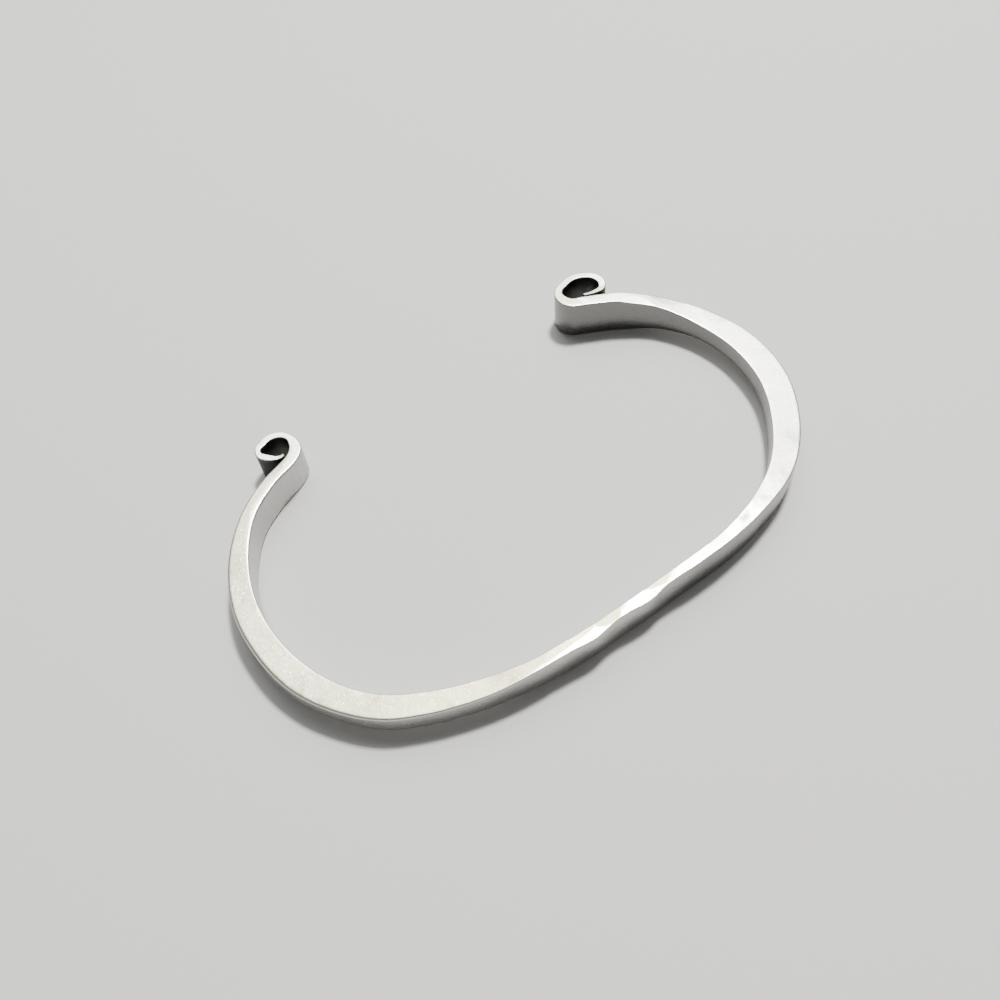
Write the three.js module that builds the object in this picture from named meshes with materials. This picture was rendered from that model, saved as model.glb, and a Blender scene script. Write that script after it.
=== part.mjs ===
// A cuff bracelet forged from one bar of silver, lying on its side as it rests.
// The wrist goes through along Z. The front is at -Y, and the way in is the gap at +Y.
// The bar is hammered tall and thin at the front and at the ends, and broad at the shoulders.
// Each end is rolled outwards into a small open scroll.

import * as THREE from 'three';

// Driving sizes in millimetres
const SPAN = 62.5; // outside width across the shoulders
const DEPTH = 34.2; // from the middle of the front bar back to the start of the scrolls
const SHOULDER_WALL = 3.2; // thickest wall, measured from the wrist outwards
const TALLEST = 4.9; // greatest height of the bar, measured along the wrist
const EDGE_RADIUS = 0.32; // roundness of the filed edges
const TIP_GAP = 0.16; // air between the tip of a scroll and the bar that it came from

// The two scrolls differ, as hand-rolled ones do. Lengths in millimetres, the heading in degrees.
// A row of turns is a point of the scroll's middle line, measured from where the scroll starts:
// along: share of length, on the line of the bar. across: share of width, away from the bar.
// wall: share of the bar's wall where the scroll starts.
const LEFT_SCROLL = {
  heading: 25, // direction of the bar where the scroll starts, from +X
  turnsLeft: true,
  length: 3.6,
  width: 4.15,
  tipWall: 0.34,
  tipAlong: 0.0,
  turns: [
    { along: 0.32, across: 0.11, wall: 0.97 },
    { along: 0.49, across: 0.31, wall: 0.77 },
    { along: 0.54, across: 0.49, wall: 0.57 },
    { along: 0.49, across: 0.69, wall: 0.57 },
    { along: 0.34, across: 0.84, wall: 0.58 },
    { along: 0.17, across: 0.92, wall: 0.6 },
    { along: -0.06, across: 0.93, wall: 0.58 },
    { along: -0.24, across: 0.92, wall: 0.49 },
    { along: -0.36, across: 0.84, wall: 0.46 },
    { along: -0.41, across: 0.72, wall: 0.55 },
    { along: -0.38, across: 0.59, wall: 0.6 },
    { along: -0.32, across: 0.46, wall: 0.55 },
    { along: -0.24, across: 0.34, wall: 0.42 },
    { along: -0.14, across: 0.265, wall: 0.33 },
  ],
};
const RIGHT_SCROLL = {
  heading: 158,
  turnsLeft: false,
  length: 5.2,
  width: 4.0,
  tipWall: 0.34,
  tipAlong: 0.04,
  turns: [
    { along: 0.31, across: 0.01, wall: 0.93 },
    { along: 0.44, across: 0.1, wall: 0.91 },
    { along: 0.52, across: 0.23, wall: 0.83 },
    { along: 0.56, across: 0.4, wall: 0.71 },
    { along: 0.52, across: 0.59, wall: 0.64 },
    { along: 0.41, across: 0.74, wall: 0.64 },
    { along: 0.24, across: 0.91, wall: 0.61 },
    { along: 0.09, across: 0.98, wall: 0.59 },
    { along: -0.09, across: 0.98, wall: 0.57 },
    { along: -0.23, across: 0.94, wall: 0.58 },
    { along: -0.35, across: 0.83, wall: 0.64 },
    { along: -0.42, across: 0.69, wall: 0.64 },
    { along: -0.43, across: 0.53, wall: 0.61 },
    { along: -0.38, across: 0.39, wall: 0.54 },
    { along: -0.26, across: 0.31, wall: 0.4 },
    { along: -0.1, across: 0.26, wall: 0.3 },
  ],
};

// Sections along the bar, from the left scroll round the front to the right scroll.
// side: share of half the width of the middle line, to the right. back: share of DEPTH.
// wall: share of SHOULDER_WALL. height and lift: shares of TALLEST, lift being the air below.
const SECTIONS = [
  { side: -0.637, back: 0.978, wall: 0.42, height: 0.86, lift: 0.0 },
  { side: -0.747, back: 0.933, wall: 0.46, height: 0.88, lift: 0.0 },
  { side: -0.86, back: 0.864, wall: 0.5, height: 0.85, lift: 0.02 },
  { side: -0.962, back: 0.739, wall: 0.66, height: 0.77, lift: 0.06 },
  { side: -1.014, back: 0.593, wall: 0.77, height: 0.66, lift: 0.12 },
  { side: -1.01, back: 0.447, wall: 0.83, height: 0.58, lift: 0.17 },
  { side: -0.968, back: 0.318, wall: 0.86, height: 0.53, lift: 0.19 },
  { side: -0.893, back: 0.211, wall: 0.8, height: 0.52, lift: 0.2 },
  { side: -0.796, back: 0.129, wall: 0.77, height: 0.55, lift: 0.19 },
  { side: -0.683, back: 0.078, wall: 0.69, height: 0.57, lift: 0.18 },
  { side: -0.572, back: 0.044, wall: 0.62, height: 0.61, lift: 0.155 },
  { side: -0.469, back: 0.022, wall: 0.55, height: 0.67, lift: 0.125 },
  { side: -0.359, back: 0.007, wall: 0.43, height: 0.78, lift: 0.07 },
  { side: -0.234, back: 0.002, wall: 0.4, height: 0.82, lift: 0.045 },
  { side: -0.13, back: 0.0, wall: 0.43, height: 0.84, lift: 0.03 },
  { side: -0.046, back: 0.008, wall: 0.34, height: 0.85, lift: 0.02 },
  { side: 0.069, back: 0.01, wall: 0.4, height: 0.88, lift: 0.0 },
  { side: 0.157, back: 0.018, wall: 0.33, height: 0.9, lift: 0.0 },
  { side: 0.282, back: 0.023, wall: 0.35, height: 0.93, lift: 0.0 },
  { side: 0.418, back: 0.036, wall: 0.4, height: 0.92, lift: 0.0 },
  { side: 0.575, back: 0.07, wall: 0.53, height: 0.88, lift: 0.03 },
  { side: 0.747, back: 0.142, wall: 0.77, height: 0.74, lift: 0.1 },
  { side: 0.886, back: 0.263, wall: 0.93, height: 0.59, lift: 0.17 },
  { side: 0.982, back: 0.415, wall: 1.0, height: 0.49, lift: 0.22 },
  { side: 1.006, back: 0.575, wall: 0.99, height: 0.45, lift: 0.24 },
  { side: 0.964, back: 0.727, wall: 0.84, height: 0.48, lift: 0.22 },
  { side: 0.866, back: 0.854, wall: 0.57, height: 0.71, lift: 0.11 },
  { side: 0.742, back: 0.938, wall: 0.48, height: 0.95, lift: 0.01 },
  { side: 0.62, back: 0.988, wall: 0.42, height: 1.0, lift: 0.0 },
];

// How finely the curves are cut
const STEPS_PER_ROW = 5;
const EDGE_STEPS = 3;

// A section on the middle line at its real size
function barRow(section) {
  return {
    x: section.side * (SPAN - SHOULDER_WALL) / 2,
    y: section.back * DEPTH,
    wall: section.wall * SHOULDER_WALL,
    height: section.height * TALLEST,
    lift: section.lift * TALLEST,
  };
}

// Sections of one scroll, from the bar to the tip, which is laid in beside the bar
// with TIP_GAP between them
function scrollRows(root, scroll) {
  const heading = THREE.MathUtils.degToRad(scroll.heading);
  const flip = scroll.turnsLeft ? 1 : -1;
  const ahead = { x: Math.cos(heading), y: Math.sin(heading) };
  const aside = { x: -ahead.y * flip, y: ahead.x * flip };
  const rowAt = (along, across, wall) => ({
    x: root.x + ahead.x * along + aside.x * across,
    y: root.y + ahead.y * along + aside.y * across,
    wall,
    height: root.height,
    lift: root.lift,
  });
  const rows = scroll.turns.map((turn) => rowAt(
    turn.along * scroll.length,
    turn.across * scroll.width,
    turn.wall * root.wall,
  ));
  const tipAcross = (root.wall + scroll.tipWall) / 2 + TIP_GAP;
  rows.push(rowAt(scroll.tipAlong * scroll.length, tipAcross, scroll.tipWall));
  return rows;
}

// All rows of the bar in order, from the tip of the left scroll to the tip of the right one
function allRows() {
  const bar = SECTIONS.map(barRow);
  const left = scrollRows(bar[0], LEFT_SCROLL).reverse();
  const right = scrollRows(bar[bar.length - 1], RIGHT_SCROLL);
  return [...left, ...bar, ...right];
}

// Outline of a section as [across the wall, up] pairs: a rectangle with rounded edges,
// going round anticlockwise as seen from the end that the path runs to
function sectionOutline(wall, height) {
  const radius = Math.min(EDGE_RADIUS, wall / 2, height / 2);
  const outline = [];
  for (let corner = 0; corner < 4; corner += 1) {
    const sideSign = corner === 0 || corner === 3 ? 1 : -1;
    const upSign = corner < 2 ? 1 : -1;
    for (let step = 0; step <= EDGE_STEPS; step += 1) {
      const angle = (corner + step / EDGE_STEPS) * Math.PI / 2;
      outline.push([
        sideSign * (wall / 2 - radius) + radius * Math.cos(angle),
        upSign * (height / 2 - radius) + radius * Math.sin(angle),
      ]);
    }
  }
  return outline;
}

// One ring of points for each step along the path. The wall side that faces the wrist is
// on the left of the way from the left scroll to the right one.
function barRings(rows) {
  const path = new THREE.CatmullRomCurve3(rows.map((row) => new THREE.Vector3(row.x, row.y, 0)));
  const sizes = new THREE.CatmullRomCurve3(
    rows.map((row) => new THREE.Vector3(row.wall, row.height, row.lift)),
    false,
    'catmullrom',
  );
  const steps = (rows.length - 1) * STEPS_PER_ROW;
  const rings = [];
  for (let step = 0; step <= steps; step += 1) {
    const share = step / steps;
    const place = path.getPoint(share);
    const ahead = path.getTangent(share);
    const size = sizes.getPoint(share);
    const height = Math.min(size.y, TALLEST);
    const middle = Math.max(size.z, 0) + height / 2;
    rings.push(sectionOutline(size.x, height).map(([side, up]) => [
      place.x - ahead.y * side,
      place.y + ahead.x * side,
      middle + up,
    ]));
  }
  return rings;
}

// The closed skin over the rings, with a flat cap at each tip
function loftGeometry(rings) {
  const around = rings[0].length;
  const last = rings.length - 1;
  const faces = [];
  for (let ring = 0; ring < last; ring += 1) {
    for (let point = 0; point < around; point += 1) {
      const here = ring * around + point;
      const next = ring * around + (point + 1) % around;
      faces.push(here, next, next + around);
      faces.push(here, next + around, here + around);
    }
  }
  for (let point = 1; point < around - 1; point += 1) {
    faces.push(0, point + 1, point);
    faces.push(last * around, last * around + point, last * around + point + 1);
  }
  const geometry = new THREE.BufferGeometry();
  geometry.setAttribute('position', new THREE.Float32BufferAttribute(rings.flat(2), 3));
  geometry.setIndex(faces);
  geometry.computeVertexNormals();
  return geometry;
}

// The bar as one piece, moved so that the origin is below the middle of its outside
function cuffMesh() {
  const geometry = loftGeometry(barRings(allRows()));
  geometry.computeBoundingBox();
  const box = geometry.boundingBox;
  const middle = box.getCenter(new THREE.Vector3());
  geometry.translate(-middle.x, -middle.y, -box.min.z);
  const silver = new THREE.MeshStandardMaterial({ color: 0xd9d5cb, metalness: 1.0, roughness: 0.34 });
  silver.name = 'silver';
  const mesh = new THREE.Mesh(geometry, silver);
  mesh.name = 'cuff';
  return mesh;
}

const bracelet = new THREE.Group();
bracelet.add(cuffMesh());

export default bracelet;
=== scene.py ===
# %% [markdown]
# # A forged silver cuff
# The object is a cuff bracelet made from one bar of silver. The bar was hammered tall and thin at
# the front and at the two ends, and left low and broad at the shoulders. Each end was rolled
# outwards into a small open scroll. Nothing is soldered or set on it.
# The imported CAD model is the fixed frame: it gives the size and the place. This script dresses it.

import bpy
import numpy as np
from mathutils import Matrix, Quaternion, Vector


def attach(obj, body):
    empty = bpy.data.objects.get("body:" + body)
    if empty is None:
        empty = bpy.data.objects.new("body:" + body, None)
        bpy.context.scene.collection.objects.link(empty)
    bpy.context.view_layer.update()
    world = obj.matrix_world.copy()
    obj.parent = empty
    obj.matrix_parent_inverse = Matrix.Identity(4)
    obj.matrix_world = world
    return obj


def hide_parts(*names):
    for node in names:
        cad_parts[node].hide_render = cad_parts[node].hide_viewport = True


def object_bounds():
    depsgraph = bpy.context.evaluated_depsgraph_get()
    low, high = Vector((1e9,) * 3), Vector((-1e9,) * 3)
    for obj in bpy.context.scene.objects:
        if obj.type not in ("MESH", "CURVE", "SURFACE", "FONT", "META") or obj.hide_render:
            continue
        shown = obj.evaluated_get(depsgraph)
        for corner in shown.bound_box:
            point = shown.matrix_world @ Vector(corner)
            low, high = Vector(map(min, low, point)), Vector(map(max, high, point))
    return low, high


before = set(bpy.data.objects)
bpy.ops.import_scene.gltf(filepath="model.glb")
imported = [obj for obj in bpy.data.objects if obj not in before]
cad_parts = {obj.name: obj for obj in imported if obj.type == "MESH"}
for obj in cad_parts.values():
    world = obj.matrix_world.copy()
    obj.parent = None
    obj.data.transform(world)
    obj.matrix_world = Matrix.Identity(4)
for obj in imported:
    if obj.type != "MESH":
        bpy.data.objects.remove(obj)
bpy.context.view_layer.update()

MM = 0.001

# %% [markdown]
# ## The bar's sizes
# A forged bar is described best by what a smith would measure: where its middle line runs, and how
# thick and how tall it is there. The tables below are the same ones as in the CAD source, because
# the dressed piece has to lie exactly where the solid is. All lengths are in millimetres, and a
# column that holds shares says what it is a share of.

# %% Driving sizes
SPAN = 62.5            # outside width across the shoulders
DEPTH = 34.2           # from the middle of the front bar back to the start of the scrolls
SHOULDER_WALL = 3.2    # thickest wall, measured from the wrist outwards
TALLEST = 4.9          # greatest height of the bar, measured along the wrist
TIP_GAP = 0.16         # air between the tip of a scroll and the bar that it came from

# %% Sections along the bar
# side: share of half the middle line's width. back: share of DEPTH. wall: share of SHOULDER_WALL.
# height and lift: shares of TALLEST, lift being the air below the bar.
SECTIONS = np.array([
    # side   back   wall  height lift
    (-0.637, 0.978, 0.42, 0.86, 0.0),
    (-0.747, 0.933, 0.46, 0.88, 0.0),
    (-0.86, 0.864, 0.5, 0.85, 0.02),
    (-0.962, 0.739, 0.66, 0.77, 0.06),
    (-1.014, 0.593, 0.77, 0.66, 0.12),
    (-1.01, 0.447, 0.83, 0.58, 0.17),
    (-0.968, 0.318, 0.86, 0.53, 0.19),
    (-0.893, 0.211, 0.8, 0.52, 0.2),
    (-0.796, 0.129, 0.77, 0.55, 0.19),
    (-0.683, 0.078, 0.69, 0.57, 0.18),
    (-0.572, 0.044, 0.62, 0.61, 0.155),
    (-0.469, 0.022, 0.55, 0.67, 0.125),
    (-0.359, 0.007, 0.43, 0.78, 0.07),
    (-0.234, 0.002, 0.4, 0.82, 0.045),
    (-0.13, 0.0, 0.43, 0.84, 0.03),
    (-0.046, 0.008, 0.34, 0.85, 0.02),
    (0.069, 0.01, 0.4, 0.88, 0.0),
    (0.157, 0.018, 0.33, 0.9, 0.0),
    (0.282, 0.023, 0.35, 0.93, 0.0),
    (0.418, 0.036, 0.4, 0.92, 0.0),
    (0.575, 0.07, 0.53, 0.88, 0.03),
    (0.747, 0.142, 0.77, 0.74, 0.1),
    (0.886, 0.263, 0.93, 0.59, 0.17),
    (0.982, 0.415, 1.0, 0.49, 0.22),
    (1.006, 0.575, 0.99, 0.45, 0.24),
    (0.964, 0.727, 0.84, 0.48, 0.22),
    (0.866, 0.854, 0.57, 0.71, 0.11),
    (0.742, 0.938, 0.48, 0.95, 0.01),
    (0.62, 0.988, 0.42, 1.0, 0.0),
])

# %% The two scrolls
# along: share of length, on the line of the bar. across: share of width, away from the bar.
# wall: share of the bar's wall where the scroll starts.
LEFT_SCROLL = {
    "heading": 25, "turn": 1, "length": 3.6, "width": 4.15, "tip_wall": 0.34, "tip_along": 0.0,
    "turns": np.array([
        # along across wall
        (0.32, 0.11, 0.97), (0.49, 0.31, 0.77), (0.54, 0.49, 0.57), (0.49, 0.69, 0.57),
        (0.34, 0.84, 0.58), (0.17, 0.92, 0.6), (-0.06, 0.93, 0.58), (-0.24, 0.92, 0.49),
        (-0.36, 0.84, 0.46), (-0.41, 0.72, 0.55), (-0.38, 0.59, 0.6), (-0.32, 0.46, 0.55),
        (-0.24, 0.34, 0.42), (-0.14, 0.265, 0.33),
    ]),
}
RIGHT_SCROLL = {
    "heading": 158, "turn": -1, "length": 5.2, "width": 4.0, "tip_wall": 0.34, "tip_along": 0.04,
    "turns": np.array([
        # along across wall
        (0.31, 0.01, 0.93), (0.44, 0.1, 0.91), (0.52, 0.23, 0.83), (0.56, 0.4, 0.71),
        (0.52, 0.59, 0.64), (0.41, 0.74, 0.64), (0.24, 0.91, 0.61), (0.09, 0.98, 0.59),
        (-0.09, 0.98, 0.57), (-0.23, 0.94, 0.58), (-0.35, 0.83, 0.64), (-0.42, 0.69, 0.64),
        (-0.43, 0.53, 0.61), (-0.38, 0.39, 0.54), (-0.26, 0.31, 0.4),
        (-0.1, 0.26, 0.3),
    ]),
}

# %% [markdown]
# ## The middle line
# The real bar was bent cold round a mandrel, so its middle line has no corners. A smooth curve
# through listed stations does the same. A spline object would also do it, but worked out in
# numpy the same curve can carry the thickness, the height and every hammer mark along with it.

# %% Stations in order, from one tip to the other
def bar_rows():
    """Each row is x, y, wall, height, lift in mm: the shares of the table times their sizes."""
    half = (SPAN - SHOULDER_WALL) / 2
    return SECTIONS * np.array([half, DEPTH, SHOULDER_WALL, TALLEST, TALLEST])


def scroll_rows(root, scroll):
    """Rows of one scroll, from its root to its tip: root + ahead * along + aside * across, where
    ahead is the bar's heading and aside is square to it, on the side that the scroll turns to."""
    heading = np.radians(scroll["heading"])
    ahead = np.array([np.cos(heading), np.sin(heading)])
    aside = np.array([-ahead[1], ahead[0]]) * scroll["turn"]
    turns = scroll["turns"] * np.array([scroll["length"], scroll["width"], root[2]])
    tip_across = (root[2] + scroll["tip_wall"]) / 2 + TIP_GAP
    tip = [scroll["tip_along"] * scroll["length"], tip_across, scroll["tip_wall"]]
    turns = np.vstack([turns, tip])
    place = root[:2] + turns[:, :1] * ahead + turns[:, 1:2] * aside
    upright = np.tile(root[3:], (len(turns), 1))
    return np.hstack([place, turns[:, 2:], upright])


bar = bar_rows()
left_rows = scroll_rows(bar[0], LEFT_SCROLL)[::-1]
right_rows = scroll_rows(bar[-1], RIGHT_SCROLL)
rows = np.vstack([left_rows, bar, right_rows])
print("stations:", len(rows))

# %% A smooth curve through the stations
def smooth_through(points, per_stretch, even):
    """Points on a cubic through all the points, per_stretch to each stretch between two of them.
    The slope at a point is the weighted mean of the slopes to its neighbours. Where even is
    false, a neighbour's weight goes with the root of its distance, so tight bends don't bulge."""
    before = np.vstack([2 * points[0] - points[1], points[:-2]])
    start, end = points[:-1], points[1:]
    after = np.vstack([points[2:], 2 * points[-1] - points[-2]])
    if even:
        slope_start = (end - before) / 2
        slope_end = (after - start) / 2
    else:
        one, two, three = (
            np.sqrt(np.linalg.norm(b - a, axis=1, keepdims=True))
            for a, b in ((before, start), (start, end), (end, after))
        )
        slope_start = two * ((start - before) / one - (end - before) / (one + two)
                             + (end - start) / two)
        slope_end = two * ((end - start) / two - (after - start) / (two + three)
                           + (after - end) / three)
    t = np.linspace(0, 1, per_stretch, endpoint=False)[None, :, None]
    a, b, m, n = (v[:, None, :] for v in (start, end, slope_start, slope_end))
    cubic = a + m * t + (3 * (b - a) - 2 * m - n) * t ** 2 + (2 * (a - b) + m + n) * t ** 3
    return np.vstack([cubic.reshape(-1, points.shape[1]), points[-1:]])


STEPS = 60    # points of the fine line to each stretch between two stations
line = smooth_through(rows[:, :2], STEPS, even=False)
sizes = smooth_through(rows[:, 2:], STEPS, even=True)
sizes[:, 1] = np.minimum(sizes[:, 1], TALLEST)
sizes[:, 2] = np.maximum(sizes[:, 2], 0)
arc = np.concatenate([[0], np.cumsum(np.linalg.norm(np.diff(line, axis=0), axis=1))])
left_root = arc[len(left_rows) * STEPS]
right_root = arc[-1 - len(right_rows) * STEPS]
arc = arc - left_root
right_root -= left_root
print("bar between the scrolls in mm:", round(right_root, 1), "whole bar:", round(arc[-1] - arc[0], 1))

# %% [markdown]
# ## Rings
# The surface is a section carried along the middle line. The rings are closer together in the
# scrolls, where the line turns quickly, and at the two tips, where a small rounded edge has to
# fit. Everywhere else a tenth of a millimetre is fine enough to show a hammer mark's crease.

# %% Where the rings are, in mm along the bar from where the left scroll ends
RING_STEP = 0.104
SCROLL_RING_STEP = 0.075
TIP_ROUND = 0.14                                           # radius of the rounded edge of a tip
TIP_RINGS = np.array([0.0, 0.04, 0.14, 0.3, 0.55, 0.8])    # shares of TIP_ROUND, closest at the end
tip_steps = TIP_ROUND * TIP_RINGS
spots = np.concatenate([
    arc[0] + tip_steps,
    np.arange(arc[0] + TIP_ROUND, 0, SCROLL_RING_STEP),
    np.arange(0, right_root, RING_STEP),
    np.arange(right_root, arc[-1] - TIP_ROUND, SCROLL_RING_STEP),
    arc[-1] - tip_steps[::-1],
])


def along_bar(values):
    """Values known on the fine middle line, read off at the rings' spots."""
    return np.stack([np.interp(spots, arc, column) for column in values.T], axis=1)


centre = along_bar(line)
ahead = along_bar(np.gradient(line, arc, axis=0))
ahead /= np.linalg.norm(ahead, axis=1, keepdims=True)
inward = np.stack([-ahead[:, 1], ahead[:, 0]], axis=1)
wall, height, lift = along_bar(sizes).T
print("rings:", len(spots))

# %% [markdown]
# ## Edges
# No two edges of a hand-forged bar are alike. The upper inner edge of the left arm was filed to a
# narrow bevel that catches the light, the outer edge of the left shoulder was rounded over, and the
# thin front kept its edges crisp. So each of the four edges has its own radius along the bar.

# %% Edge radii
# mm along the bar, then the radius in mm of each edge there
EDGES = np.array([
    # along  inner top, outer top, outer bottom, inner bottom
    (-11, 0.12, 0.13, 0.2, 0.2),
    (-2, 0.14, 0.14, 0.22, 0.22),
    (2, 0.3, 0.2, 0.25, 0.25),
    (7, 0.3, 0.26, 0.28, 0.25),
    (13, 0.2, 0.3, 0.3, 0.28),
    (23, 0.16, 0.34, 0.32, 0.3),
    (35, 0.14, 0.24, 0.3, 0.3),
    (45, 0.12, 0.14, 0.24, 0.24),
    (65, 0.1, 0.12, 0.2, 0.2),
    (81, 0.12, 0.16, 0.24, 0.24),
    (93, 0.12, 0.28, 0.3, 0.28),
    (107, 0.12, 0.26, 0.28, 0.28),
    (117, 0.12, 0.16, 0.22, 0.22),
    (132, 0.13, 0.13, 0.2, 0.2),
])
edge_radii = np.stack([np.interp(spots, EDGES[:, 0], EDGES[:, k]) for k in (1, 2, 3, 4)], axis=1)
print("edge radii in mm: from", edge_radii.min().round(2), "to", edge_radii.max().round(2))

# %% [markdown]
# ## The section's outline
# The outline is a rectangle with rounded corners, one point list for all rings: it starts at the
# wrist side, goes over the top, down the outside and back underneath. For each point the list also
# keeps which way the metal faces there, so that a hammer mark can push the right faces in.

# %% Outline points
CORNER_STEPS = 6
FLAT_POINTS = (13, 8, 3, 6)    # points between two corners: on top, outside, underneath, wrist side
corner_turn = np.linspace(0, np.pi / 2, CORNER_STEPS + 1)


def outline():
    """For each point of the outline: the last corner before it, its share of the way to the next
    corner, and its outward direction. Corner k covers the angles from k to k + 1 quarter turns."""
    parts = []
    for k in range(4):
        angle = corner_turn + k * np.pi / 2
        facing = np.stack([np.cos(angle), np.sin(angle)], axis=1)
        parts.append(np.column_stack([np.full(len(angle), k), np.zeros(len(angle)), facing]))
        share = np.linspace(0, 1, FLAT_POINTS[k] + 2)[1:-1]
        square = [np.cos((k + 1) * np.pi / 2), np.sin((k + 1) * np.pi / 2)]
        parts.append(np.column_stack([np.full(len(share), k), share, np.tile(square, (len(share), 1))]))
    return np.vstack(parts)


ring_points = outline()
corner = ring_points[:, 0].astype(int)
share_on_flat = ring_points[:, 1]
facing_side, facing_up = ring_points[:, 2], ring_points[:, 3]
CORNER_SIDE = np.array([1, -1, -1, 1])    # 1 towards the wrist, -1 outwards
CORNER_UP = np.array([1, 1, -1, -1])
ROUNDEST_EDGE = 0.45                      # share of the wall or the height that a radius may be
print("points round a ring:", len(ring_points))


def section_points(wall, height, radii):
    """Side and up of every outline point on every ring: a corner point is the corner's centre plus
    radius times its facing, and a point on a flat is the mix of the two corner points beside it."""
    radii = np.minimum(radii, np.minimum(wall, height)[:, None] * ROUNDEST_EDGE)

    def corner_point(k, side, up):
        r = radii[:, k]
        return (CORNER_SIDE[k] * (wall[:, None] / 2 - r) + r * side,
                CORNER_UP[k] * (height[:, None] / 2 - r) + r * up)

    here_side, here_up = corner_point(corner, facing_side, facing_up)
    after = (corner + 1) % 4
    there_side, there_up = corner_point(after, facing_side, facing_up)
    return (here_side + (there_side - here_side) * share_on_flat,
            here_up + (there_up - here_up) * share_on_flat)


tip_distance = np.minimum(spots - arc[0], arc[-1] - spots)
tip_inset = TIP_ROUND * (1 - np.sqrt(np.clip(1 - (1 - tip_distance / TIP_ROUND).clip(0) ** 2, 0, 1)))
side, up = section_points(wall - 2 * tip_inset, height - 2 * tip_inset, edge_radii)

# %% [markdown]
# ## Hammer marks
# A planishing hammer leaves shallow flats that meet in faint creases. On the thin front there are
# two rows of them, one leaning to the wrist and one leaning outwards, so the top looks like a very
# low roof with facets. A bump texture could fake it, but real facets also bend the outline a
# little, as they do on the real bar. Each blow is a nearly flat plane, and where blows overlap the
# deepest one wins.

# %% Blows on the top of the bar
# mm along the bar, lean across it in mm per mm (above 0 towards the wrist), lean along it,
# depth in mm at the blow's middle
TOP_BLOWS = np.array([
    # along   across  along  depth
    (1.9, -0.05, 0.0, 0.0),
    (6.9, 0.06, 0.004, 0.0),
    (13.4, -0.02, 0.0, 0.01),
    (20.4, 0.02, -0.004, 0.01),
    (27.4, -0.02, 0.003, 0.01),
    (34.4, 0.02, 0.0, 0.01),
    (41.0, -0.03, -0.004, 0.01),
    (46.0, 0.04, 0.0, 0.01),
    (50.2, 0.06, 0.0, 0.015),
    (55.4, -0.1, 0.01, 0.015),
    (58.7, 0.09, 0.0, 0.03),
    (62.1, -0.12, 0.01, 0.02),
    (65.0, 0.08, 0.0, 0.02),
    (68.4, -0.07, 0.0, 0.01),
    (72.0, 0.05, 0.004, 0.01),
    (75.8, -0.05, 0.0, 0.015),
    (79.4, 0.05, 0.0, 0.01),
    (83.2, -0.04, 0.004, 0.01),
    (88.0, -0.03, 0.0, 0.01),
    (93.4, 0.012, 0.002, 0.005),
    (99.4, -0.012, 0.0, 0.005),
    (105.9, -0.03, -0.002, 0.005),
    (111.2, -0.06, 0.0, 0.01),
    (114.6, 0.08, 0.0, 0.02),
    (119.0, -0.05, 0.0, 0.01),
])
BLOW_ROUND = 34.0      # radius in mm that the hammer's face leaves along the bar


def planished(blows, spots, across, flatness):
    """Depth in mm below the untouched face. One blow cuts to
    depth + lean_across * across + lean_along * gap - gap * gap / (2 * flatness), where gap is the
    length along the bar from its middle, and the face keeps the greatest of all cuts and zero."""
    gap = spots[:, None, None] - blows[:, 0]
    cut = (blows[:, 3] + blows[:, 1] * across[:, :, None] + blows[:, 2] * gap
           - gap ** 2 / (2 * flatness))
    return np.maximum(cut.max(axis=2), 0)


top_cut = planished(TOP_BLOWS, spots, side, BLOW_ROUND)
print("deepest mark on top in mm:", round(float(top_cut[:, facing_up > 0.9].max()), 3))

# %% Blows on the two walls
# The walls were hammered evenly, so a seeded generator places their blows.
WALL_BLOWS_FROM, WALL_BLOWS_TO = 1.4, 120.4    # mm along the bar
WALL_ROUND = 90.0                              # a flatter hammer than the one for the top
LEAN_ALONG = 0.006                             # greatest lean along the bar, mm per mm
PLACE_SPREAD = 0.3                             # share of the spacing that a blow may be off by
rng = np.random.default_rng(7)


def random_blows(spacing, lean, depth):
    """A row of blows about spacing apart, each with a lean across and a depth up to the given ones.
    Its columns are those of the blows on top, drawn in that order from the seeded generator."""
    count = int((WALL_BLOWS_TO - WALL_BLOWS_FROM) / spacing)
    along = (WALL_BLOWS_FROM + (np.arange(count) + 0.5) * spacing
             + rng.uniform(-PLACE_SPREAD, PLACE_SPREAD, count) * spacing)
    return np.column_stack([along, rng.uniform(-lean, lean, count),
                            rng.uniform(-LEAN_ALONG, LEAN_ALONG, count), rng.uniform(0, depth, count)])


outer_blows = random_blows(spacing=4.4, lean=0.012, depth=0.015)
inner_blows = random_blows(spacing=5.2, lean=0.012, depth=0.02)
outer_cut = planished(outer_blows, spots, up, WALL_ROUND)
inner_cut = planished(inner_blows, spots, up, WALL_ROUND)
print("blows outside and inside:", len(outer_blows), len(inner_blows))

# %% [markdown]
# ## Nicks, dents and a straight foot
# The front was hammered last and from above. The blows left small steps in its outer upper edge,
# a few round knocks in the top, and a wall that waves along its upper edge and runs straight at
# its foot. Sculpting would do for one bar, but a table of places and depths can be read, measured
# and changed, so each kind of mark gets a short one.

# %% Nicks in the outer upper edge of the front
# The edge creeps outwards and then steps back in.
NICKS = np.array([
    # along, depth in mm
    (47.4, 0.0), (51.6, 0.0), (52.1, 0.06), (56.4, 0.0), (57.6, 0.1), (60.9, 0.03),
    (63.6, 0.0), (64.7, 0.08), (68.9, 0.0),
])
NICK_REACH = 0.4       # share of half the height, down from the top edge
top_share = (up / (height[:, None] / 2) - 1 + NICK_REACH).clip(0) / NICK_REACH
nick = np.interp(spots, NICKS[:, 0], NICKS[:, 1])[:, None] * top_share
print("deepest nick in mm:", round(float(nick.max()), 3))

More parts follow.
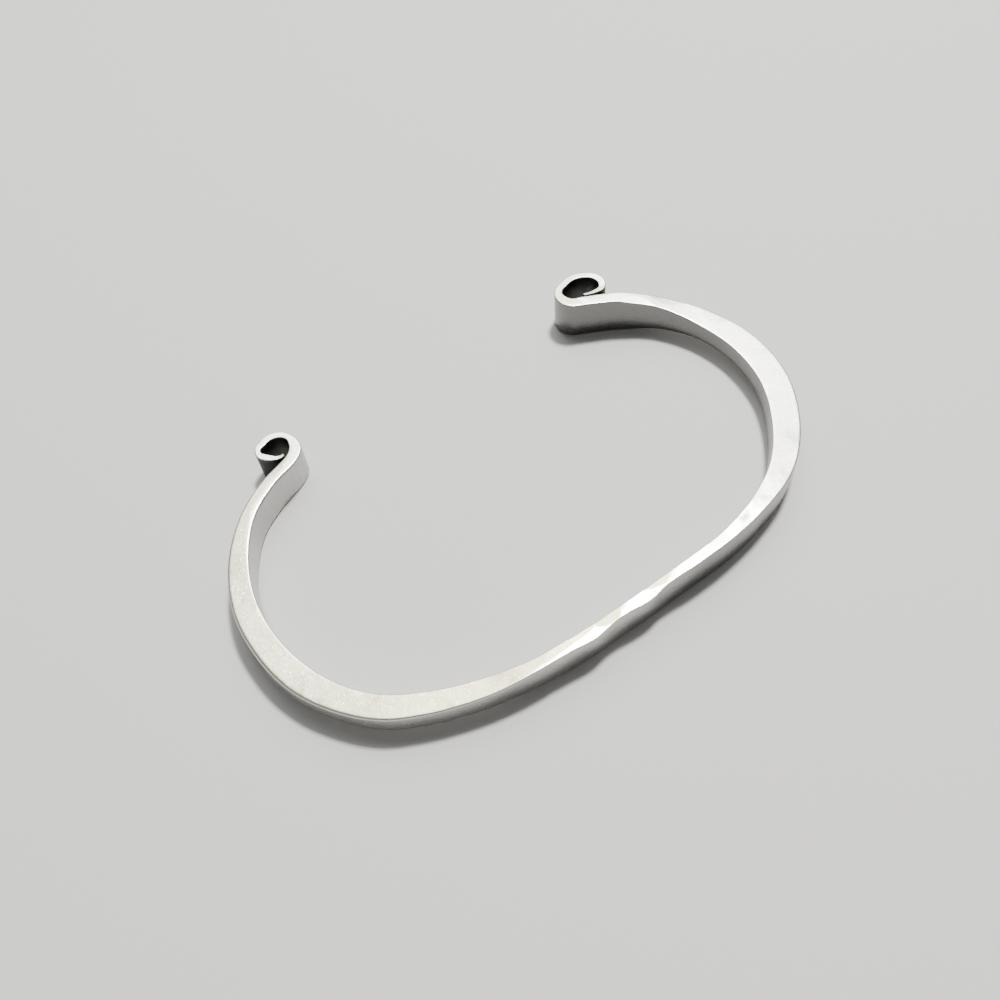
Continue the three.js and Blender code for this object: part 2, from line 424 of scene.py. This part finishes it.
# %% Dents in the top
# Small knocks, each a round-bottomed hollow, deepest at its middle. The biggest one is on the
# way up to the right shoulder.
DENTS = np.array([
    # along, share of the width from the wrist side, then length, breadth and depth in mm
    (17.3, 0.55, 0.3, 0.2, 0.015),
    (24.6, 0.25, 0.2, 0.2, 0.01),
    (30.2, 0.85, 0.5, 0.25, 0.02),
    (33.4, 0.4, 0.25, 0.2, 0.01),
    (47.6, 0.7, 0.3, 0.15, 0.012),
    (56.3, 0.45, 0.25, 0.15, 0.01),
    (71.2, 0.45, 0.35, 0.15, 0.012),
    (75.7, 0.42, 0.75, 0.36, 0.04),
    (76.4, 0.25, 0.2, 0.15, 0.015),
    (77.8, 0.3, 0.3, 0.15, 0.012),
    (78.9, 0.6, 0.45, 0.35, 0.02),
    (79.3, 0.8, 0.2, 0.2, 0.015),
    (81.6, 0.75, 0.25, 0.2, 0.015),
    (97.0, 0.35, 0.3, 0.25, 0.01),
    (-10.7, 0.5, 0.5, 0.6, 0.028),
    (133.6, 0.5, 1.0, 0.6, 0.025),
])
across_share = 0.5 - side / wall[:, None]
dent_along = (spots[:, None, None] - DENTS[:, 0]) / DENTS[:, 2]
dent_across = (across_share[:, :, None] - DENTS[:, 1]) * wall[:, None, None] / DENTS[:, 3]
dent_shape = np.exp(-dent_along ** 2 - dent_across ** 2)
dent_cut = (dent_shape * DENTS[:, 4]).sum(axis=2)
print("dents:", len(DENTS), "deepest in mm:", round(float(dent_cut.max()), 3))


# %% The foot of the front wall
def soften(values, width):
    """A running mean along the bar, weighted to its middle, width in rings."""
    kernel = np.hanning(width + 2)[1:-1]
    padded = np.pad(values, width, mode="edge")
    return np.convolve(padded, kernel / kernel.sum(), mode="same")[width:-width]


WAVE_RINGS = 110                                        # longer than a wave of the wall
FRONT_START, FRONT_END, FRONT_FADE = 42.0, 74.0, 6.0    # mm along the bar
in_front = (np.minimum(spots - FRONT_START, FRONT_END - spots) / FRONT_FADE).clip(0, 1)
low_share = (0.5 - up / height[:, None]).clip(0, 1)


def wave_at(direction):
    """For every ring, mm along inward from the wall to the same wall with its waves averaged out."""
    plan = centre + inward * direction * wall[:, None] / 2
    calm = np.stack([soften(column, WAVE_RINGS) for column in plan.T], axis=1)
    return ((calm - plan) * inward).sum(axis=1)


straighten = np.where(facing_side > 0, wave_at(1)[:, None], wave_at(-1)[:, None])
straighten = straighten * np.abs(facing_side) * low_share * in_front[:, None]
print("most that the foot moves in mm:", round(float(np.abs(straighten).max()), 3))

# %% Push the faces in
cut_side = np.where(facing_side > 0, inner_cut, outer_cut + nick) * facing_side
cut_up = np.where(facing_up > 0, top_cut + dent_cut, 0) * facing_up
side = side - cut_side + straighten
up = up - cut_up
print("most that a wall and the top are cut in mm:", np.abs(cut_side).max().round(3), cut_up.max().round(3))

# %% [markdown]
# ## Where the polish can't reach, and painted shade
# Silver darkens, and a polishing cloth takes the dark off wherever it reaches. It doesn't reach
# into the scrolls, so they stay nearly black. Painting that by hand would need a picture. Instead
# each stretch of wall measures how far it is to the nearest other metal in front of it: a narrow
# gap is dark. Ray casting would give the same, but the middle line is enough for a bent bar. The
# last stretch before each tip is rolled under towards the bar, so its outside is dark by rule.
# So the dark is the black oxide and also painted shade: narrow gaps and the rolled-under outsides
# lie in shade and mirror the shadow beside them, and that shade is painted in with the black.

# %% Gap in front of each wall
EVERY = 8                # of this many rings, one is looked at as other metal
IN_SIGHT = 0.25          # cosine of the widest angle off square at which a wall looks
OTHER_METAL = 2.0        # mm along the bar that counts as another stretch
NOTHING_THERE = 99.0     # mm


def gap_in_front(direction):
    """For every ring, the length in mm from its wall to the nearest point of another stretch of
    the bar's middle line, counting only points that lie well in front of the wall. The direction
    is 1 for the wall on the wrist side and -1 for the outer one."""
    facing_way = inward * direction
    origin = centre + facing_way * wall[:, None] / 2
    to_ring = centre[None, ::EVERY] - origin[:, None]
    far = np.linalg.norm(to_ring, axis=2)
    in_sight = (to_ring * facing_way[:, None]).sum(axis=2) > IN_SIGHT * far
    other = np.abs(spots[:, None] - spots[None, ::EVERY]) > OTHER_METAL
    return np.where(in_sight & other, far, NOTHING_THERE).min(axis=1)


def smooth_step(value, low, high):
    """0 below low, 1 above high, and an even S between them."""
    t = np.clip((value - low) / (high - low), 0, 1)
    return t * t * (3 - 2 * t)


# %% How dark each wall is
# Of each pair in mm, all is dark up to the first length and bright from the second.
GAP_WRIST_SIDE, GAP_OUTSIDE = (2.2, 4.4), (3.4, 4.6)
ROLLED_UNDER = (2.8, 4.4)    # from the tip
DARKEST_CROOK = 0.98
POLISHED_RIM = 0.16          # mm below an edge that the cloth still reaches
SOFT_WRIST_SIDE, SOFT_OUTSIDE = 9, 27    # rings over which the border of the dark is softened
# the black oxide in narrow gaps, with the shade that lies there painted in too
dark_inner = soften(1 - smooth_step(gap_in_front(1), *GAP_WRIST_SIDE), SOFT_WRIST_SIDE)
# painted shade: the rolled-under outside of each tip mirrors the shadow beside it and is painted near black
dark_inner = np.maximum(dark_inner, DARKEST_CROOK * (1 - smooth_step(tip_distance, *ROLLED_UNDER)))
dark_outer = soften(1 - smooth_step(gap_in_front(-1), *GAP_OUTSIDE), SOFT_OUTSIDE)
depth_below_rim = np.minimum(height[:, None] / 2 - up, height[:, None] / 2 + up)
reach = smooth_step(depth_below_rim, 0.0, POLISHED_RIM)
dark = np.where(facing_side > 0, dark_inner[:, None], dark_outer[:, None]) * reach * np.abs(facing_side)
print("share of the surface that stays dark:", round(float(dark.mean()), 3))

# %% Grey low down inside the scrolls
# The colour is blackest just below the rim and goes over to grey further in. The right scroll is
# rolled wider open than the left one, so it has more of the grey.
LEFT_GREY, RIGHT_GREY = 0.9, 1.0
GREY_DEPTH = (0.7, 2.8)    # mm below the top: no haze up to here, and all of it from here
deep_grey = dark * (facing_side < 0) * smooth_step(height[:, None] / 2 - up, *GREY_DEPTH)
deep_grey = deep_grey * np.where(spots > right_root / 2, RIGHT_GREY, LEFT_GREY)[:, None]
print("share of the surface under the haze:", round(float(deep_grey.mean()), 3))

# %% [markdown]
# ## The warm film and painted shade
# Before silver turns black it gets a thin yellow-grey film. On this cuff the same warm grey is
# partly that film and partly painted shade: it lies on the left arm and on the flats that lean to
# the wrist, where the light falls less, and it is left off the right arm, the outward flats and
# every edge. Noise alone would put it anywhere, so a table says between which shares of the bar's
# width it lies, and noise only breaks up its border later on.

# %% Where the film and its painted shade lie
FILM = np.array([
    # along, from and to: shares of the width, 0 on the wrist side and 1 on the outside; strength
    (-12.0, 0.0, 1.0, 1.4), (-10.4, 0.0, 1.0, 1.3), (-9.8, 0.0, 0.0, 0.5), (-2.4, 1.0, 1.0, 0.5),
    (-1.6, 0.72, 1.0, 0.7), (0.6, 0.62, 1.0, 0.9), (1.4, 0.45, 1.0, 0.9), (6.0, 0.4, 1.0, 0.9),
    (10.0, 0.25, 1.0, 0.9), (14.0, 0.06, 1.0, 0.9), (18.0, 0.0, 1.0, 0.9), (34.0, 0.0, 1.0, 1.05),
    (44.0, 0.0, 1.0, 1.2), (48.0, 0.0, 0.95, 1.3), (51.8, 0.0, 0.72, 1.4), (54.5, 0.0, 0.5, 1.4),
    (56.2, 0.1, 0.35, 1.3), (57.0, 0.12, 0.2, 1.3), (57.5, 0.0, 0.7, 1.3), (58.5, 0.0, 1.0, 1.4),
    (59.3, 0.0, 0.95, 1.4), (59.8, 0.0, 0.35, 1.2), (60.6, 0.0, 0.06, 1.0), (62.6, 0.0, 0.05, 1.0),
    (63.6, 0.0, 0.45, 1.2), (64.8, 0.0, 0.7, 1.2), (65.6, 0.0, 0.5, 1.1), (66.4, 0.0, 0.06, 0.8),
    (68.0, 0.0, 0.0, 0.5), (78.0, 0.0, 0.0, 0.3), (84.0, 0.15, 0.85, 0.3), (114.0, 0.1, 0.9, 0.3),
    (118.0, 0.0, 0.0, 0.3), (120.4, 0.0, 0.0, 0.5), (121.2, 0.3, 1.0, 0.8), (123.0, 0.1, 1.0, 1.0),
    (128.3, 0.0, 1.0, 0.7), (129.3, 0.0, 0.0, 0.5), (131.4, 0.0, 0.0, 0.5), (131.9, 0.0, 1.0, 1.3),
    (136.0, 0.0, 1.0, 1.4),
])
BORDER = 0.09              # share of the width over which the film fades
NARROWEST = (0.02, 0.2)    # a band as narrow as the first share has no film, the second has all of it
FLAT_TOP = (0.6, 1.0)      # how far the metal faces up for no film, and for all of it
film_from = np.interp(spots, FILM[:, 0], FILM[:, 1])[:, None]
film_to = np.interp(spots, FILM[:, 0], FILM[:, 2])[:, None]
film = smooth_step(across_share, film_from - BORDER, film_from + BORDER)
film = film * (1 - smooth_step(across_share, film_to - BORDER, film_to + BORDER))
film = film * smooth_step(film_to - film_from, *NARROWEST) * smooth_step(facing_up, *FLAT_TOP)
film = film * np.interp(spots, FILM[:, 0], FILM[:, 3])[:, None]
print("share of the top under the film:", round(float(film[:, facing_up > 0.99].mean()), 2))

# %% [markdown]
# ## Dirt in the dents
# A cloth slides over a dent and leaves some dirt at its bottom. The dents above already have their
# shapes as numbers, so the same shapes serve as a mask: the deeper the dent, the more dirt.

# %% Dirt where the dents are
DIRTY_DENT = (0.005, 0.03)    # mm deep: a dent is clean up to here, and full of dirt from here
smudge = (dent_shape * smooth_step(DENTS[:, 4], *DIRTY_DENT)).sum(axis=2).clip(0, 1) * (facing_up > 0.5)
print("dents with dirt in them:", int((DENTS[:, 4] > DIRTY_DENT[0]).sum()))

# %% [markdown]
# ## Painted shade on the walls
# The walls mirror the floor beside them, and where that floor lies in the bar's shadow they look
# darker. That is painted into their colour: towards the right scroll on the wrist side, and on the
# outside of the front's right half. It is even and without a border, so a table with a value for
# each side is all it takes.

# %% Painted shade on stretches of the walls
# along, then how much painted shade the wall gets on the wrist side and outside: 0 is none and 1 is grey
WALL_SHADE = np.array([
    (-11, 0.8, 0.3), (-7, 0.7, 0.2), (0, 0.35, 0.2), (8, 0.35, 0.1), (16, 0.15, 0.1),
    (40, 0.1, 0.1), (60, 0.1, 0.15), (70, 0.3, 0.65), (86, 0.6, 0.65), (104, 0.95, 0.3),
    (122, 0.95, 0.3), (125, 0.8, 0.35), (127, 0.4, 0.4), (135, 0.4, 0.6),
])
wall_shade_inner, wall_shade_outer = (np.interp(spots, WALL_SHADE[:, 0], WALL_SHADE[:, k])[:, None] for k in (1, 2))
wall_shade = np.where(facing_side > 0, wall_shade_inner, wall_shade_outer)
print("mean shading on the wrist side and outside:", wall_shade_inner.mean().round(2), wall_shade_outer.mean().round(2))

# %% [markdown]
# ## The mesh
# The rings become one closed skin: quads between neighbouring rings and a fan over each tip. The
# same arrays give a UV map, a hundredth of a unit to the millimetre along and around the bar, for
# marks that follow the metal. They also give one attribute for each of the masks above, and one
# for how much a point faces up.

# %% Build it
def bar_points():
    """Corner points in metres: centre + inward * side, at lift + half the height + up, moved so
    that the box over all of them has its middle above the origin, as in the CAD source."""
    flat = centre[:, None, :] + inward[:, None, :] * side[:, :, None]
    tall = lift[:, None] + height[:, None] / 2 + up
    full_side = np.concatenate([wall / 2, -wall / 2])
    skin = np.vstack([centre, centre]) + np.vstack([inward, inward]) * full_side[:, None]
    middle = (skin.min(axis=0) + skin.max(axis=0)) / 2
    return np.concatenate([flat - middle, tall[:, :, None]], axis=2) * MM


def closed_skin(name, points):
    """A mesh over rings x points: quad (ring, point) joins ring and ring + 1, point and the next,
    wrapping round, and a middle point closes each end with triangles. Also returns, for each
    face corner, its ring and its point before wrapping."""
    rings, around = points.shape[:2]
    ring, point = np.meshgrid(np.arange(rings - 1), np.arange(around), indexing="ij")
    ring, point = ring.ravel(), point.ravel()
    corner_ring = np.stack([ring, ring, ring + 1, ring + 1], axis=1)
    corner_point = np.stack([point, point + 1, point + 1, point], axis=1)
    quads = corner_ring * around + corner_point % around
    first, last = rings * around, rings * around + 1
    p = np.arange(around)
    start_fan = np.stack([np.full(around, first), (p + 1) % around, p], axis=1)
    end_row = (rings - 1) * around
    end_fan = np.stack([np.full(around, last), end_row + p, end_row + (p + 1) % around], axis=1)
    ends = np.stack([points[0].mean(axis=0), points[-1].mean(axis=0)])
    mesh = bpy.data.meshes.new(name)
    vertices = np.vstack([points.reshape(-1, 3), ends])
    mesh.from_pydata(vertices.tolist(), [], quads.tolist() + start_fan.tolist() + end_fan.tolist())
    mesh.polygons.foreach_set("use_smooth", np.ones(len(mesh.polygons), bool))
    return mesh, corner_ring, corner_point


points = bar_points()
mesh, corner_ring, corner_point = closed_skin("forged_bar", points)
mesh.validate()
print("triangles:", 2 * len(corner_ring) + 2 * points.shape[1])

# %% Marks that travel with the metal
def put_attribute(mesh, name, values):
    """Writes rings x points of numbers to the mesh's points, with zero on the two end points."""
    layer = mesh.attributes.new(name, "FLOAT", "POINT")
    layer.data.foreach_set("value", np.append(values.ravel(), [0.0, 0.0]).astype(np.float32))


put_attribute(mesh, "facing_up", np.tile(np.abs(facing_up), (len(spots), 1)))
put_attribute(mesh, "dark", dark)
put_attribute(mesh, "deep_grey", deep_grey)
put_attribute(mesh, "film", film)
put_attribute(mesh, "smudge", smudge)
put_attribute(mesh, "wall_shade", wall_shade)

# %% The bar's own UV map
# The whole bar is about one and a half units long.
UV_UNIT = 0.01        # units to the millimetre
CLOSING_STEP = 0.2    # mm from the last point of a ring back to its first
around_mm = np.concatenate([[0], np.cumsum(np.hypot(np.diff(side.mean(0)), np.diff(up.mean(0))))])
around_mm = np.append(around_mm, around_mm[-1] + CLOSING_STEP)
quad_uv = np.stack([spots[corner_ring], around_mm[corner_point]], axis=2).reshape(-1, 2) * UV_UNIT
uv = np.zeros((len(mesh.loops), 2), np.float32)
uv[:len(quad_uv)] = quad_uv
mesh.uv_layers.new(name="bar_uv").data.foreach_set("uv", uv.ravel())
print("once round the bar in mm, on average:", around_mm[-1].round(1))

# %% Put the piece in the scene
cuff = bpy.data.objects.new("forged_bar", mesh)
bpy.context.scene.collection.objects.link(cuff)
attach(cuff, "root")
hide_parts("cuff")
low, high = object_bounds()
print("dressed box in mm:", [round((b - a) / MM, 2) for a, b in zip(low, high)])

# %% [markdown]
# ## Shader arithmetic
# Node trees for worn metal are mostly sums and products of masks. Written as node calls they are
# hard to read, so one small class wraps a socket: adding or multiplying two of them makes the Math
# node. Every other node comes from one method.

# %% A socket that can be added and multiplied
class Socket:
    """An output socket in a finish's node tree."""

    def __init__(self, finish, socket):
        self.finish, self.socket = finish, socket

    def _math(self, operation, first, second, clamp=False):
        settings = {"operation": operation, "use_clamp": clamp}
        return self.finish.add("ShaderNodeMath", settings, {0: first, 1: second})

    def __add__(self, other):
        return self._math("ADD", self, other)

    __radd__ = __add__

    def __sub__(self, other):
        return self._math("SUBTRACT", self, other)

    def __rsub__(self, other):
        return self._math("SUBTRACT", other, self)

    def __mul__(self, other):
        return self._math("MULTIPLY", self, other)

    __rmul__ = __mul__

    def clamped(self):
        """The same, kept between 0 and 1."""
        return self._math("ADD", self, 0.0, clamp=True)

    def rise(self, low, high):
        """0 below low, 1 above high, with an even S between them."""
        settings = {"interpolation_type": "SMOOTHSTEP"}
        values = {"Value": self, "From Min": low, "From Max": high}
        return self.finish.add("ShaderNodeMapRange", settings, values)


class Finish:
    """One material. Its surface is the Principled shader that Blender puts in a new material."""

    def __init__(self, name):
        self.material = bpy.data.materials.new(name)
        self.material.use_nodes = True
        self.nodes = self.material.node_tree.nodes
        self.links = self.material.node_tree.links
        self.shader = self.nodes["Principled BSDF"]

    def join(self, value, socket):
        if isinstance(value, Socket):
            self.links.new(value.socket, socket)
        else:
            socket.default_value = value

    def add(self, kind, settings=None, values=None, output=0):
        """Makes a node, gives it its settings, then its sockets' values or links."""
        node = self.nodes.new(kind)
        for name, setting in (settings or {}).items():
            setattr(node, name, setting)
        for name, value in (values or {}).items():
            self.join(value, node.inputs[name])
        return Socket(self, node.outputs[output])

    def mix(self, share, first, second):
        """The first colour where share is 0, the second where it is 1."""
        return self.add("ShaderNodeMix", {"data_type": "RGBA"},
                        {"Factor": share, "A": first, "B": second}, output="Result")

    def attribute(self, name):
        return self.add("ShaderNodeAttribute", {"attribute_name": name}, output="Fac")

    def surface(self, **values):
        """Sets sockets of the shader, by name with spaces as underscores."""
        for name, value in values.items():
            self.join(value, self.shader.inputs[name.replace("_", " ")])


def colour(red, green, blue):
    return (red, green, blue, 1.0)


# %% [markdown]
# ## Silver
# Polished silver is a mirror, but this bar was finished with emery and worn for years. Its top has
# a fine satin with clouds, grain and tiny bright flecks, the flecks being painted glints. Its walls
# are smoother, painted a shade darker than the top, and mirror what is near. All of it comes from
# noise in several sizes on Object coordinates, so that it looks the same from every side, and from
# streaks on the bar's own UV map, because file marks and scratches follow the bar.

# %% The finish and its coordinates
silver = Finish("worn_silver")
place = silver.add("ShaderNodeTexCoord", output="Object")
place_mm = silver.add("ShaderNodeVectorMath", {"operation": "SCALE"}, {"Vector": place, "Scale": 1 / MM})
on_bar = silver.add("ShaderNodeUVMap", {"uv_map": "bar_uv"})
facing, dark_mask, deep_grey_mask, film_mask, smudge_mask, wall_shade_mask = (
    silver.attribute(name) for name in ("facing_up", "dark", "deep_grey", "film", "smudge", "wall_shade")
)


def noise(scale, detail=3.0, roughness=0.5):
    """Soft noise with scale bumps to the millimetre."""
    return silver.add("ShaderNodeTexNoise", None,
                      {"Vector": place_mm, "Scale": scale, "Detail": detail, "Roughness": roughness})


def streaks(along, around, detail=3.0):
    """Noise with its own number of bumps to the millimetre along the bar and around it."""
    scale = (along / UV_UNIT, around / UV_UNIT, 1.0)
    stretched = silver.add("ShaderNodeMapping", None, {"Vector": on_bar, "Scale": scale})
    return silver.add("ShaderNodeTexNoise", None,
                      {"Vector": stretched, "Scale": 1.0, "Detail": detail, "Roughness": 0.6})


# %% Marks in several sizes
# Of a rise, the two numbers are where the noise starts to count and where it counts in full.
clouds = noise(1.1, 4.0, 0.6)
grain = noise(4.2, 3.0, 0.7)
# painted glints: bright specks for the pits that catch the light
glint_flecks = noise(5.5, 1.0).rise(0.68, 0.74)
pits = noise(3.2, 2.0).rise(0.66, 0.74)
scratches = streaks(0.5, 12.0)
file_marks = streaks(3.0, 0.35)
print("nodes for the marks:", len(silver.nodes))

# %% [markdown]
# ## Colour of the top
# From the metal up: clean silver with faint clouds, the warm film with painted shade in it, a grey
# grain left by the emery, the dirt in the dents, and on top of it all the flecks, which are painted
# glints: bright specks for pits that catch the light. Each layer is one mix of two colours, so a
# layer can be changed or taken out by itself.

# %% Layers of the top
BRIGHT_SILVER, CLOUDED_SILVER = colour(0.97, 0.965, 0.94), colour(0.88, 0.86, 0.8)
WARM_FILM = colour(0.47, 0.46, 0.285)
EMERY_GREY = colour(0.47, 0.46, 0.35)
DENT_DIRT = colour(0.36, 0.335, 0.27)
GLINT_SILVER = colour(0.98, 0.975, 0.96)
clean_top = silver.mix(clouds.rise(0.42, 0.72) * 0.55, BRIGHT_SILVER, CLOUDED_SILVER)
# warm film, partly painted shade on the left arm and on the flats that lean to the wrist
film_amount = (film_mask * (0.62 + clouds * 0.5 + (grain - 0.5) * 0.9)).clamped()
filmed = silver.mix(film_amount, clean_top, WARM_FILM)
grained = silver.mix((grain.rise(0.45, 0.75) * 0.4).clamped(), filmed, EMERY_GREY)
smudged = silver.mix((smudge_mask * (0.7 + clouds * 0.6)).clamped(), grained, DENT_DIRT)
top_colour = silver.mix(glint_flecks * 0.8, smudged, GLINT_SILVER)
print("nodes up to the top's colour:", len(silver.nodes))

# %% [markdown]
# ## Colour of the walls and of the black
# The walls mirror the floor and look darker than the top, so their colour is a greyer silver:
# painted shade on the upright sides of the same metal.
# The black inside the scrolls, oxide with painted shade in it, is purest just below the rim.
# Further in it is mottled with a brown grey in clouds, and deepest down it goes over to a paler grey.

# %% Walls, and the insides of the scrolls
# The walls' silver is painted darker than the top's: painted shade on the upright sides of the same metal.
SHADED_WALL_SILVER, SHADED_FILED_SILVER = colour(0.63, 0.62, 0.6), colour(0.58, 0.57, 0.55)
# the dark grey of the painted shade on the walls
SHADED_WALL = colour(0.16, 0.157, 0.152)
# near black for the oxide and the painted shade inside the scrolls and in the crooks
BLACK_OXIDE_AND_SHADE, MOTTLED_BLACK = colour(0.01, 0.01, 0.01), colour(0.1, 0.094, 0.086)
LOW_GREY = colour(0.3, 0.31, 0.3)
bright_wall = silver.mix(file_marks.rise(0.35, 0.7), SHADED_WALL_SILVER, SHADED_FILED_SILVER)
# painted shade: the wall's colour goes towards dark grey where it mirrors the shadow on the floor
wall_tone = silver.mix(wall_shade_mask, bright_wall, SHADED_WALL)
plain = silver.mix(facing.rise(0.35, 0.9), wall_tone, top_colour)
mottled = clouds.rise(0.42, 0.66) * (0.2 + deep_grey_mask * 0.8)
black_inside = silver.mix(mottled, BLACK_OXIDE_AND_SHADE, MOTTLED_BLACK)
inside = silver.mix((deep_grey_mask * (0.5 + clouds * 0.8)).clamped(), black_inside, LOW_GREY)
dark_amount = (dark_mask * (0.9 + clouds * 0.25)).clamped()
silver_colour = silver.mix(dark_amount, plain, inside)
print("nodes up to the whole colour:", len(silver.nodes))

# %% [markdown]
# ## Sheen and relief
# How sharply silver mirrors shows how it was last rubbed: the top is a satin, the walls are
# smoother, and film, dirt and the black take the sheen off. Grain, scratches and pits are far too
# small to model, so a bump node tilts the light on them, and the hammer marks stay real.

# %% Sheen, relief and the shader's sockets
BUMP_DEPTH = 0.05 * MM
BUMP_STRENGTH = 0.25
top_rough = 0.3 + clouds * 0.1 + film_mask * 0.08 + smudge_mask * 0.1 - glint_flecks * 0.12
wall_rough = 0.2 + scratches * 0.1 + file_marks * 0.03
rough = wall_rough + (top_rough - wall_rough) * facing + dark_mask * 0.25
relief = grain * (0.3 + facing * 0.6) + scratches * 0.3 + file_marks * 0.1 + glint_flecks * 0.8 - pits * 1.2
bump = silver.add("ShaderNodeBump", None,
                  {"Height": relief, "Strength": BUMP_STRENGTH, "Distance": BUMP_DEPTH})
metallic = 1.0 - dark_amount * 0.35 - deep_grey_mask * 0.3
silver.surface(Base_Color=silver_colour, Metallic=metallic, Roughness=rough.clamped(), Normal=bump)
cuff.data.materials.append(silver.material)
print("nodes in the silver:", len(silver.nodes))

# %% [markdown]
# ## Floor
# The real cuff lay on something flat, and so does this one: a plain pale surface, so wide that the
# camera doesn't see its edge. It is not attached to the cuff.

# %% Make the floor
FLOOR_REACH = 3.0    # metres from the cuff to each edge
floor_corners = FLOOR_REACH * np.array([(-1, -1, 0), (1, -1, 0), (1, 1, 0), (-1, 1, 0)])
floor_mesh = bpy.data.meshes.new("floor")
floor_mesh.from_pydata(floor_corners.tolist(), [], [(0, 1, 2, 3)])
floor = bpy.data.objects.new("floor", floor_mesh)
bpy.context.scene.collection.objects.link(floor)
pale = Finish("pale_floor")
pale.surface(Base_Color=colour(0.46, 0.46, 0.452), Roughness=0.75)
floor.data.materials.append(pale.material)
print("floor in metres:", 2 * FLOOR_REACH)

# %% [markdown]
# ## Light
# The light comes from high up, beyond the cuff and to its right, so the shadow falls towards the
# viewer. A small panel makes that shadow, with a soft rim. A big soft panel is what the flat top
# mirrors to the camera, so the top looks white and every lean of a hammer mark shows in it. The
# sky is a plain grey, darker near the horizon, so that the upright walls stay darker than the top.

# %% Lights
def panel(name, towards, degrees_up, distance, size, watts, tint):
    """A square light that looks at the cuff from a plan direction and an angle above the floor.
    Its distance and size are in metres."""
    data = bpy.data.lights.new(name, "AREA")
    data.size, data.energy, data.color = size, watts, tint
    lamp = bpy.data.objects.new(name, data)
    tilt = np.radians(degrees_up)
    flat = np.array(towards) / np.linalg.norm(towards) * np.cos(tilt)
    way = Vector((*flat, np.sin(tilt)))
    lamp.location = way * distance
    lamp.rotation_mode = "QUATERNION"
    lamp.rotation_quaternion = way.to_track_quat("Z", "Y")
    lamp.visible_camera = False
    bpy.context.scene.collection.objects.link(lamp)
    print(name, "light at", [round(metres, 2) for metres in lamp.location])


panel("key", towards=(0.83, 0.56), degrees_up=68, distance=0.6, size=0.07, watts=7.8,
      tint=(1.0, 0.985, 0.96))
panel("top", towards=(0.45, 0.89), degrees_up=58, distance=0.9, size=0.75, watts=8.0,
      tint=(1.0, 1.0, 1.0))

# %% Sky
HORIZON, OVERHEAD = (0.10, 0.105, 0.11, 1), (0.62, 0.62, 0.62, 1)
OVERHEAD_FROM = 0.55    # share of the way up from which the sky is evenly bright
SKY_STRENGTH = 0.46
world = bpy.data.worlds.new("studio")
bpy.context.scene.world = world
world.use_nodes = True
sky = world.node_tree
way = sky.nodes.new("ShaderNodeTexCoord")
split = sky.nodes.new("ShaderNodeSeparateXYZ")
tone = sky.nodes.new("ShaderNodeValToRGB")
tone.color_ramp.elements[0].color = HORIZON
tone.color_ramp.elements[1].position = OVERHEAD_FROM
tone.color_ramp.elements[1].color = OVERHEAD
sky.links.new(way.outputs["Generated"], split.inputs[0])
sky.links.new(split.outputs["Z"], tone.inputs[0])
sky.links.new(tone.outputs[0], sky.nodes["Background"].inputs["Color"])
sky.nodes["Background"].inputs["Strength"].default_value = SKY_STRENGTH
print("nodes in the sky:", len(sky.nodes))

# %% [markdown]
# ## Camera
# The camera stands where the photographer's did: about 10 cm away, looking down at 57 degrees and
# turned 6 degrees about its own axis. So near a camera gives strong perspective, and the side of
# the cuff that is further away looks clearly smaller than the near side.

# %% Set the camera
CAMERA_SPOT = Vector((-27.974, -50.075, 87.511)) * MM
CAMERA_AIM = Vector((-2.388, 0.67, 0.0)) * MM
CAMERA_ROLL = 6.0    # degrees
camera_data = bpy.data.cameras.new("camera")
camera_data.lens, camera_data.sensor_width = 36.0, 36.0
camera_data.clip_start, camera_data.clip_end = 0.005, 20.0
camera = bpy.data.objects.new("camera", camera_data)
bpy.context.scene.collection.objects.link(camera)
camera.location = CAMERA_SPOT
camera.rotation_mode = "QUATERNION"
looking = (CAMERA_AIM - CAMERA_SPOT).to_track_quat("-Z", "Y")
camera.rotation_quaternion = looking @ Quaternion((0, 0, 1), np.radians(-CAMERA_ROLL))
bpy.context.scene.camera = camera
look = CAMERA_SPOT - CAMERA_AIM
print("camera in mm from what it looks at:", round(look.length / MM), "and degrees down:",
      round(float(np.degrees(np.arcsin(look.z / look.length)))))
